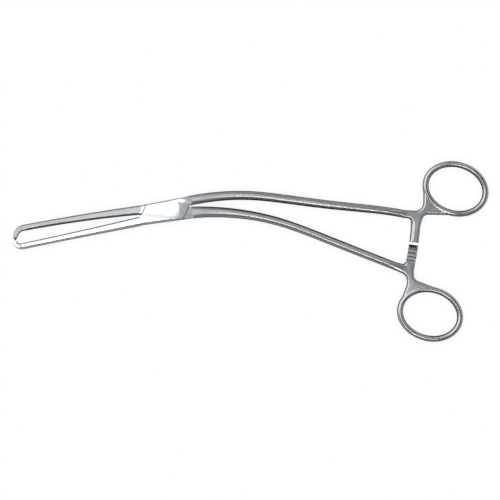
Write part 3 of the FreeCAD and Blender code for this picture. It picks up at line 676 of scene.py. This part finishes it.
@dataclass
class Floor:
    """A wide pale floor that stays white to the camera outside the object's shadow."""

    half_side: float = 7.0
    drop: float = 0.02 * MM
    colour: Colour = (0.93, 0.93, 0.93)
    roughness: float = 0.6
    specular: float = 0.2
    contact: float = 4 * MM
    contact_shadow: Ramp = Ramp(0.45, 0.95, 0.92, 1.0)
    shade_reach: float = 40 * MM
    mirrored_shade: Ramp = Ramp(0.88, 1.0, 0.02, 0.9)

    def build(self) -> bpy.types.Object:
        """Lays the floor just under the forceps.

        Returns:
            The floor's object.
        """
        side, level = self.half_side, -self.drop
        corners = [(-side, -side, level), (side, -side, level), (side, side, level), (-side, side, level)]
        mesh = bpy.data.meshes.new("floor")
        mesh.from_pydata(corners, [], [(0, 1, 2, 3)])
        mesh.materials.append(self.paper())
        plane = bpy.data.objects.new("floor", mesh)
        bpy.context.scene.collection.objects.link(plane)
        return plane

    def paper(self) -> bpy.types.Material:
        """Paper that shows white in the picture and in the steel, darker close to the forceps.

        Returns:
            The floor's material.
        """
        material = bpy.data.materials.new("floor_paper")
        material.use_nodes = True
        sheet = NodeSheet(material.node_tree)
        path = sheet.add("ShaderNodeLightPath").outputs
        seen = sheet.calc("MAXIMUM", path["Is Camera Ray"], path["Is Glossy Ray"])
        seen = sheet.calc("MAXIMUM", seen, path["Is Transmission Ray"])
        near = sheet.add("ShaderNodeAmbientOcclusion", {"Distance": self.contact}, samples=12)
        wide = sheet.add("ShaderNodeAmbientOcclusion", {"Distance": self.shade_reach}, samples=16)
        links = {
            "Factor": path["Is Glossy Ray"],
            "A": sheet.ramp(near.outputs["AO"], self.contact_shadow),
            "B": sheet.ramp(wide.outputs["AO"], self.mirrored_shade),
        }
        level = sheet.add("ShaderNodeMix", links).outputs["Result"]
        glow = sheet.add("ShaderNodeEmission", {"Color": (1, 1, 1, 1), "Strength": level})
        links = {
            "Base Color": (*self.colour, 1),
            "Roughness": self.roughness,
            "Specular IOR Level": self.specular,
        }
        paper = sheet.add("ShaderNodeBsdfPrincipled", links)
        mixed = sheet.add("ShaderNodeMixShader", {0: seen, 1: paper.outputs[0], 2: glow.outputs[0]})
        sheet.add("ShaderNodeOutputMaterial", {"Surface": mixed.outputs[0]})
        return material


@dataclass
class Sky:
    """What the steel mirrors beside the lamps: a dim zenith, a dark belt and a paler belt near the floor."""

    colour: Colour = (0.97, 0.985, 1.0)
    zenith: Ramp = Ramp(0.75, 0.97, 0.1, 0.28)
    zenith_near: Ramp = Ramp(-0.4, -0.05, 0.35, 1.0)
    zenith_far: Ramp = Ramp(0.03, 0.35, 1.0, 0.25)
    belt_foot: Ramp = Ramp(0.0, 0.25, 0.12, 0.5)
    belt_top: Ramp = Ramp(0.5, 0.68, 1.0, 0.0)
    belt_near: Ramp = Ramp(-0.8, 0.1, 0.5, 1.0)
    belt_sides: Ramp = Ramp(0.2, 0.55, 1.0, 2.2)

    def build(self) -> None:
        """Makes the world."""
        world = bpy.data.worlds.new("studio")
        bpy.context.scene.world = world
        world.use_nodes = True
        sheet = NodeSheet(world.node_tree)
        way = sheet.add("ShaderNodeTexCoord").outputs["Generated"]
        parts = sheet.add("ShaderNodeSeparateXYZ", {0: way}).outputs
        high = sheet.ramp(parts["Z"], self.zenith)
        high = sheet.times(high, sheet.ramp(parts["Y"], self.zenith_near))
        high = sheet.times(high, sheet.ramp(parts["Y"], self.zenith_far))
        low = sheet.ramp(parts["Z"], self.belt_foot)
        low = sheet.times(low, sheet.ramp(parts["Z"], self.belt_top))
        low = sheet.times(low, sheet.ramp(parts["Y"], self.belt_near))
        low = sheet.times(low, sheet.ramp(sheet.calc("ABSOLUTE", parts["X"]), self.belt_sides))
        links = {"Color": (*self.colour, 1), "Strength": sheet.plus(high, low)}
        light = sheet.add("ShaderNodeBackground", links)
        sheet.add("ShaderNodeOutputWorld", {"Surface": light.outputs[0]})


@dataclass(frozen=True)
class SoftBox:
    """A rectangular lamp that faces straight down. Its radiance is 1 where it looks white."""

    name: str
    place: tuple[float, float, float]
    size: Point
    radiance: float
    colour: Colour

    def build(self) -> bpy.types.Object:
        """Hangs the lamp.

        Returns:
            The lamp's object.
        """
        lamp = bpy.data.lights.new(self.name, "AREA")
        lamp.shape = "RECTANGLE"
        lamp.size, lamp.size_y = self.size
        lamp.energy = self.radiance * math.pi * self.size[0] * self.size[1]
        lamp.color = self.colour
        holder = bpy.data.objects.new(self.name, lamp)
        bpy.context.scene.collection.objects.link(holder)
        holder.location = self.place
        holder.visible_camera = False
        return holder


@dataclass
class Viewpoint:
    """A long lens straight above the forceps, with the jaws on the left."""

    frame_width: float = 262.5 * MM
    centre: Point = (44.5 * MM, -20.2 * MM)
    aim_height: float = 3.2 * MM
    lens: float = 200.0
    sensor: float = 36.0
    nearest: float = 0.1
    farthest: float = 40.0

    def build(self) -> bpy.types.Object:
        """Makes the camera that the scene uses.

        Returns:
            The camera's object.
        """
        data = bpy.data.cameras.new("camera")
        data.lens, data.sensor_width = self.lens, self.sensor
        data.clip_start, data.clip_end = self.nearest, self.farthest
        camera = bpy.data.objects.new("camera", data)
        bpy.context.scene.collection.objects.link(camera)
        distance = self.frame_width * self.lens / self.sensor
        camera.location = (*self.centre, distance + self.aim_height)
        bpy.context.scene.camera = camera
        return camera


LAMPS = (
    SoftBox("overhead_left", (-1.12, 0.75, 1.75), (2.36, 2.0), 2.05, (0.94, 0.975, 1.0)),
    SoftBox("near_strip", (0.02, -0.6, 1.75), (0.4, 0.6), 7.0, (0.96, 0.985, 1.0)),
    SoftBox("far_right", (0.66, 1.4, 1.75), (0.56, 0.9), 1.5, (1.0, 1.0, 0.98)),
)


def main() -> None:
    """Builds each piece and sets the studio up."""
    logging.basicConfig(level=logging.INFO, format="%(name)s: %(message)s")
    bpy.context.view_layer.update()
    for part in (BoxHalf(), TongueHalf(), PivotPin()):
        piece = part.build()
        LOG.info("%s has %d faces", piece.name, len(piece.data.polygons))
    for item in (Floor(), Sky(), *LAMPS, Viewpoint()):
        item.build()
        LOG.info("%s stands in the studio", type(item).__name__)
    bpy.context.scene.view_settings.view_transform = "Standard"


if __name__ == "__main__":
    main()
